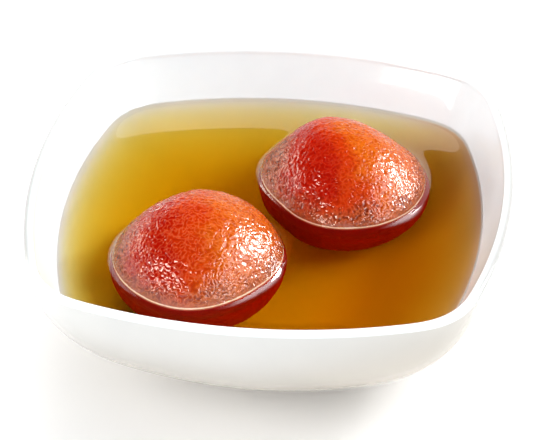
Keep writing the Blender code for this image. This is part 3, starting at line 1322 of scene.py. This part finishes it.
@dataclass
class SyrupPool:
    """The syrup in the bowl, with a hollow for each ball and an edge that climbs what it wets."""

    shape: BowlShape
    jamuns: tuple[JamunShape, ...]
    level: float = 33.9 * MM
    finish: SugarSyrup = SugarSyrup()
    at_wall: Meniscus = Meniscus(rise=0.9 * MM)
    at_jamun: Meniscus = Meniscus(rise=2.0 * MM)
    into_wall: float = 0.15 * MM
    into_jamun: float = 0.35 * MM
    past_edge: float = 1.6
    wall_points: int = 320
    corner_crowding: float = 0.45
    jamun_points: int = 200
    edge_samples: int = 360
    hollow_rows: int = 56
    floor_rings: int = 8
    edge_margin: float = 0.2 * MM
    ring_margin: float = 0.05 * MM
    grid_margin: float = 0.7 * MM
    grid_pitch: float = 1.3 * MM
    offsets: tuple[float, ...] = (0.12, 0.3, 0.55, 0.85, 1.2, 1.65, 2.2, 2.9, 3.8, 5.0)
    highest_cut: float = 1.2
    halvings: int = 32
    blending: float = 4.0

    @property
    def wall_edge(self) -> float:
        """Height of the syrup's edge on the wall."""
        return self.level + self.at_wall.rise

    @property
    def jamun_edge(self) -> float:
        """Height of the syrup's edge on the balls."""
        return self.level + self.at_jamun.rise

    def outline(self, jamun: JamunShape, azimuths: Array, inset: float) -> tuple[Array, Array]:
        """Where the syrup's edge runs round a ball.

        Args:
            jamun: The ball.
            azimuths: Directions round the ball's middle.
            inset: How far inside the skin.

        Returns:
            Elevations and level distances from the ball's middle.
        """
        low, high = np.zeros_like(azimuths), np.full_like(azimuths, self.highest_cut)
        for _ in range(self.halvings):
            middle = (low + high) / 2
            reach = jamun.reach(sphere_rows(azimuths, middle)) - inset
            above = jamun.centre[2] + reach * np.sin(middle) > self.jamun_edge
            low, high = np.where(above, low, middle), np.where(above, middle, high)
        reach = jamun.reach(sphere_rows(azimuths, low)) - inset
        return low, reach * np.cos(low)

    def point_on(self, jamun: JamunShape, azimuths: Array, elevations: Array) -> Array:
        """Points on the hollow round a ball, just inside its smooth skin.

        Args:
            jamun: The ball.
            azimuths: Directions round its middle.
            elevations: Angles above the level, one for each azimuth.

        Returns:
            The points as rows.
        """
        ways = sphere_rows(azimuths, elevations)
        reach = jamun.settled(ways, self.shape, self.into_wall, self.into_jamun)
        return np.array(jamun.centre) + reach[:, None] * ways

    def distances(self, points: Array) -> Array:
        """Distances to everything that the surface meets, negative beyond it.

        Args:
            points: Level (x, y) rows.

        Returns:
            One row for the bowl's wall, then one for each ball.
        """
        angle = np.arctan2(points[:, 1], points[:, 0])
        wall = self.shape.inner_reach(angle, np.full_like(angle, self.wall_edge))
        rows = [wall - np.hypot(points[:, 0], points[:, 1])]
        for jamun in self.jamuns:
            across, along = points[:, 0] - jamun.centre[0], points[:, 1] - jamun.centre[1]
            ring = even_angles(self.edge_samples)
            run = self.outline(jamun, ring, 0.0)[1]
            edge = np.interp(np.arctan2(along, across), ring, run, period=2 * math.pi)
            rows.append(np.hypot(across, along) - edge)
        return np.array(rows)

    def surface_height(self, points: Array) -> Array:
        """Height of the syrup's surface.

        Args:
            points: Level (x, y) rows.

        Returns:
            The height above the ground at each.
        """
        away = np.maximum(self.distances(points), 0.0)
        rises = np.vstack([self.at_wall.height(away[:1]), self.at_jamun.height(away[1:])])
        return self.level + np.sum(rises**self.blending, axis=0) ** (1 / self.blending)

    def surface_points(self) -> Array:
        """Places for the surface's points between its edges, closer together along them."""
        rows = []
        for index, offset in enumerate(self.offsets):
            offset *= MM
            stagger = (index % 2) * math.pi
            angles = even_angles(self.wall_points, self.corner_crowding)
            angles = angles + stagger / self.wall_points
            reach = self.shape.inner_reach(angles, np.full_like(angles, self.wall_edge)) - offset
            rows.append((0, offset, level_rows(reach, angles)))
            for number, jamun in enumerate(self.jamuns, 1):
                turns = even_angles(self.jamun_points) + stagger / self.jamun_points
                run = self.outline(jamun, turns, 0.0)[1] + offset
                rows.append((number, offset, level_rows(run, turns) + np.array(jamun.centre[:2])))
        kept = []
        for own, offset, ring in rows:
            others = np.delete(self.distances(ring), own, axis=0)
            kept.append(ring[(others > offset + self.ring_margin).all(axis=0)])
        half = self.shape.half_width
        steps = np.arange(-half, half, self.grid_pitch)
        across, along = np.meshgrid(steps, steps)
        across = across + (np.arange(len(steps)) % 2)[:, None] * self.grid_pitch / 2
        grid = np.stack([across.ravel(), along.ravel()], axis=1)
        clear = (self.distances(grid) > self.offsets[-1] * MM + self.grid_margin).all(axis=0)
        return np.vstack([*kept, grid[clear]])

    def shell(self) -> MeshData:
        """The faces down the wall and across the floor, open at the syrup's edge."""
        angles = even_angles(self.wall_points, self.corner_crowding)
        section = self.shape.inner_wall(-self.into_wall)
        below = section[section[:, 1] < self.wall_edge - self.edge_margin]
        top_radius = np.interp(self.wall_edge, section[::-1, 1], section[::-1, 0])
        spokes = np.linspace(below[-1, 0], 0.0, self.floor_rings)[1:]
        floor = np.stack([spokes, np.full_like(spokes, below[-1, 1])], axis=1)
        rings = np.vstack([[[top_radius, self.wall_edge]], below, floor[:-1]])
        points = np.vstack([ring_points(self.shape, rings, angles), [[0.0, 0.0, below[-1, 1]]]])
        faces = ring_faces(len(rings), len(angles))
        last = (len(rings) - 1) * len(angles)
        faces += fan_faces(len(points) - 1, last, len(angles), up=False)
        return MeshData(points, faces)

    def hollow(self, jamun: JamunShape) -> MeshData:
        """The faces round a ball, open at the syrup's edge.

        Args:
            jamun: The ball.

        Returns:
            The mesh, with its open edge's points first.
        """
        azimuths = even_angles(self.jamun_points)
        start, _ = self.outline(jamun, azimuths, self.into_jamun)
        rows = []
        for row in range(self.hollow_rows):
            elevations = start + (-math.pi / 2 - start) * (row / self.hollow_rows)
            rows.append(self.point_on(jamun, azimuths, elevations))
        pole = self.point_on(jamun, azimuths[:1], np.array([-math.pi / 2]))
        faces = [face[::-1] for face in ring_faces(self.hollow_rows, len(azimuths))]
        end = self.hollow_rows * len(azimuths)
        faces += fan_faces(end, end - len(azimuths), len(azimuths))
        return MeshData(np.vstack([*rows, pole]), faces)

    def covered(self, body: MeshData, edges: list[range]) -> MeshData:
        """The shell and hollows with the syrup's surface stretched between their edges.

        Args:
            body: The shell and hollows.
            edges: The points along each of their open edges.

        Returns:
            The whole mesh.
        """
        ring = np.array([index for edge in edges for index in edge])
        free = self.surface_points()
        level = np.vstack([body.points[ring][:, :2], free])
        sides, first = [], 0
        for edge in edges:
            sides += [(first + k, first + (k + 1) % len(edge)) for k in range(len(edge))]
            first += len(edge)
        # The triangulation works at about unit size, where its tolerance fits.
        flat, _, triangles, sources, _, _ = geometry.delaunay_2d_cdt(
            [Vector(place) for place in (level / self.shape.half_width).tolist()],
            sides, [], 0, TRIANGULATION_TOLERANCE,
        )  # fmt: skip
        flat = np.array([tuple(place) for place in flat]) * self.shape.half_width
        owners = np.array([source[0] for source in sources])
        own = len(body.points) + owners - len(ring)
        numbers = np.where(owners < len(ring), ring[np.minimum(owners, len(ring) - 1)], own)
        away = self.distances(flat[np.array(triangles)].mean(axis=1))
        reaches = [self.into_wall] + [self.into_jamun] * len(self.jamuns)
        on_surface = (away > -self.past_edge * np.array(reaches)[:, None]).all(axis=0)
        faces = [
            tuple(int(numbers[index]) for index in triangle)
            for triangle, wanted in zip(triangles, on_surface)
            if wanted
        ]
        heights = self.surface_height(free)
        return body.joined(np.column_stack([free, heights]), faces)

    def build(self) -> bpy.types.Object:
        """The syrup, as one piece that stands for its solid."""
        body, edges = self.shell(), [range(self.wall_points)]
        for jamun in self.jamuns:
            hollow, start = self.hollow(jamun), len(body.points)
            faces = [tuple(index + start for index in face) for face in hollow.faces]
            body = body.joined(hollow.points, faces)
            edges.append(range(start, start + self.jamun_points))
        piece = self.covered(body, edges).to_object("syrup_piece", self.finish.material())
        dress(piece, "syrup")
        return piece


# ---------------------------------------------------------------------------------------------
# The studio
# ---------------------------------------------------------------------------------------------


def studio_way(azimuth: float, elevation: float) -> Vector:
    """The unit direction towards a place in the studio.

    Args:
        azimuth: Its angle in degrees round the bowl, 0 in front and 90 on the right.
        elevation: Its angle above the horizon, in degrees.

    Returns:
        The direction.
    """
    turn, rise = math.radians(azimuth), math.radians(elevation)
    level = math.cos(rise)
    return Vector((level * math.sin(turn), -level * math.cos(turn), math.sin(rise)))


@dataclass(frozen=True)
class Softbox:
    """A soft light that looks at the bowl and is not seen in gloss."""

    name: str
    azimuth: float
    elevation: float
    power: float
    size: float = 0.55
    distance: float = 1.2

    def build(self, aim: Vector) -> None:
        """Hang the light.

        Args:
            aim: What it looks at.
        """
        light = bpy.data.lights.new(self.name, "AREA")
        light.energy = self.power
        light.shape = "SQUARE"
        light.size = self.size
        lamp = bpy.data.objects.new(self.name, light)
        away = studio_way(self.azimuth, self.elevation)
        lamp.location = aim + self.distance * away
        lamp.rotation_euler = (-away).to_track_quat("-Z", "Y").to_euler()
        lamp.visible_glossy = False
        lamp.visible_transmission = False
        bpy.context.scene.collection.objects.link(lamp)


@dataclass(frozen=True)
class Glint:
    """A bright pane, far off, that is only seen in gloss."""

    azimuth: float
    elevation: float
    brightness: float
    width: float
    height: float
    colour: Colour = WHITE
    softness: float = 3.0

    def edge(
        self, graph: Graph, way: bpy.types.NodeSocket, across: Vector, size: float
    ) -> bpy.types.NodeSocket:
        """1 inside the pane and 0 outside, in one of its two directions.

        Args:
            graph: The world's graph.
            way: The direction of the ray.
            across: The pane's direction.
            size: The pane's size in that direction, in degrees.

        Returns:
            The mask's socket.
        """
        off = graph.math("ABSOLUTE", graph.vector("DOT_PRODUCT", way, tuple(across)))
        inside = math.sin(math.radians(size / 2 - self.softness))
        outside = math.sin(math.radians(size / 2 + self.softness))
        return graph.rest_of(graph.fade(off, inside, outside))

    def shader(self, graph: Graph, way: bpy.types.NodeSocket) -> bpy.types.NodeSocket:
        """The pane's light.

        Args:
            graph: The world's graph.
            way: The direction of the ray.

        Returns:
            The shader's socket.
        """
        ahead = studio_way(self.azimuth, self.elevation)
        side = ahead.cross(Vector((0.0, 0.0, 1.0))).normalized()
        rise = side.cross(ahead)
        facing = graph.vector("DOT_PRODUCT", way, tuple(ahead))
        in_front = graph.math("GREATER_THAN", facing, 0.0)
        level = self.edge(graph, way, side, self.width)
        pane = graph.times(level, self.edge(graph, way, rise, self.height))
        strength = graph.times(graph.times(pane, in_front), self.brightness)
        inputs = {"Color": self.colour, "Strength": strength}
        return graph.add("ShaderNodeBackground", inputs).outputs[0]


@dataclass
class Studio:
    """The floor, the lights and the camera."""

    floor_half_width: float = 3.0
    room_light: float = 0.46
    horizon_glow: float = 0.7
    glow_colour: Colour = (1.0, 0.88, 0.70)
    glow_top: Step = (0.25, 0.42)
    glow_gap: Step = (0.88, 0.97)
    lamp_aim: tuple[float, float, float] = (0.0, 0.0, 0.03)
    camera_place: tuple[float, float, float] = (0.0678, -0.5161, 0.4306)
    camera_aim: tuple[float, float, float] = (0.00286, -0.01675, 0.047)
    camera_roll: float = -0.75
    lens: float = 170.49
    sensor_width: float = 36.0
    nearest_seen: float = 0.01
    softboxes: tuple[Softbox, ...] = field(
        default_factory=lambda: (
            Softbox("fill_right", azimuth=90, elevation=55, power=8.6),
            Softbox("fill_right_back", azimuth=135, elevation=32, power=4.7),
            Softbox("fill_front", azimuth=45, elevation=40, power=2.2),
            Softbox("fill_left_front", azimuth=-45, elevation=40, power=4.4),
            Softbox("fill_back", azimuth=180, elevation=30, power=6.2),
            Softbox("fill_left", azimuth=-90, elevation=9, power=7.0),
            Softbox("fill_top", azimuth=0, elevation=88, power=2.1),
        )
    )
    glints: tuple[Glint, ...] = (
        Glint(azimuth=118, elevation=15, brightness=36.0, width=17, height=27),
        Glint(azimuth=-42, elevation=16, brightness=24.0, width=34, height=17, colour=WARM_WHITE),
        Glint(azimuth=-112, elevation=9, brightness=5.5, width=30, height=20, colour=WARM_WHITE),
        Glint(azimuth=52, elevation=16, brightness=12.0, width=24, height=15, softness=7.0),
        Glint(azimuth=100, elevation=30, brightness=5.5, width=46, height=36, softness=12.0),
    )

    def add_floor(self) -> None:
        """The floor that the bowl stands on."""
        half = self.floor_half_width
        corners = np.array([[-half, -half, 0], [half, -half, 0], [half, half, 0], [-half, half, 0]])
        floor = MeshData(corners, [(0, 1, 2, 3)]).to_object("floor", PaleFloor().material())

    def add_room_light(self) -> None:
        """Even light from all round; gloss sees a dark room with a low glow and bright panes."""
        world = bpy.data.worlds.new("room")
        world.use_nodes = True
        graph = Graph(world.node_tree)
        way = graph.add("ShaderNodeTexCoord").outputs["Generated"]
        parts = graph.axes(way)
        low = graph.rest_of(graph.fade(parts["Z"], *self.glow_top))
        in_front = graph.fade(graph.times(parts["Y"], -1.0), *self.glow_gap)
        strength = graph.times(graph.times(low, graph.rest_of(in_front)), self.horizon_glow)
        glow = {"Color": self.glow_colour, "Strength": strength}
        seen = graph.add("ShaderNodeBackground", glow).outputs[0]
        for glint in self.glints:
            both = graph.add("ShaderNodeAddShader", {0: seen, 1: glint.shader(graph, way)})
            seen = both.outputs[0]
        even = world.node_tree.nodes["Background"]
        graph.feed(even, {"Color": WHITE, "Strength": self.room_light})
        is_gloss = graph.add("ShaderNodeLightPath").outputs["Is Glossy Ray"]
        both = graph.add("ShaderNodeMixShader", {0: is_gloss, 1: even.outputs[0], 2: seen})
        graph.feed(world.node_tree.nodes["World Output"], {"Surface": both.outputs[0]})
        world.cycles_visibility.transmission = False
        bpy.context.scene.world = world

    def add_camera(self) -> None:
        """The camera, as the eye of someone at the table."""
        data = bpy.data.cameras.new("camera")
        data.sensor_fit = "HORIZONTAL"
        data.sensor_width = self.sensor_width
        data.lens = self.lens
        data.clip_start = self.nearest_seen
        camera = bpy.data.objects.new("camera", data)
        place, aim = Vector(self.camera_place), Vector(self.camera_aim)
        turn = (aim - place).to_track_quat("-Z", "Y").to_matrix()
        roll = Matrix.Rotation(math.radians(self.camera_roll), 3, "Z")
        camera.matrix_world = Matrix.Translation(place) @ (turn @ roll).to_4x4()
        bpy.context.scene.collection.objects.link(camera)
        bpy.context.scene.camera = camera

    def build(self) -> None:
        """Set up everything round the object."""
        self.add_floor()
        self.add_room_light()
        for softbox in self.softboxes:
            softbox.build(Vector(self.lamp_aim))
        self.add_camera()
        bpy.context.scene.view_settings.view_transform = "Standard"


def main() -> None:
    """Build the bowl, the balls, the syrup and the studio."""
    logging.basicConfig(level=logging.INFO, format="%(message)s")
    # Without a seed, noise_vector's offsets come from the clock and the skins differ each run.
    noise.seed_set(NOISE_SEED)
    shape = BowlShape()
    bowl = GlazedBowl(shape).build()
    LOG.info("%s: %d faces", bowl.name, len(bowl.data.polygons))
    left_skin = FriedSkin(
        name="left_fried_skin",
        middle=LEFT_JAMUN.centre,
        pale_side=(-20, 42),
        deep_side=(-138, 56),
        crest_highlight_share=0.22,
    )
    right_skin = FriedSkin(
        name="right_fried_skin",
        middle=RIGHT_JAMUN.centre,
        pale_side=(10, 44),
        deep_side=(-146, 46),
        crest_highlight_share=0.06,
    )
    for name, ball, seed, skin in (
        ("gulab_jamun_left", LEFT_JAMUN, 3.7, left_skin),
        ("gulab_jamun_right", RIGHT_JAMUN, 21.3, right_skin),
    ):
        piece = GulabJamun(name, ball, seed).build(shape, skin.material())
        LOG.info("%s: %d faces", piece.name, len(piece.data.polygons))
    syrup = SyrupPool(shape, (LEFT_JAMUN, RIGHT_JAMUN)).build()
    LOG.info("%s: %d faces", syrup.name, len(syrup.data.polygons))
    Studio().build()


if __name__ == "__main__":
    main()
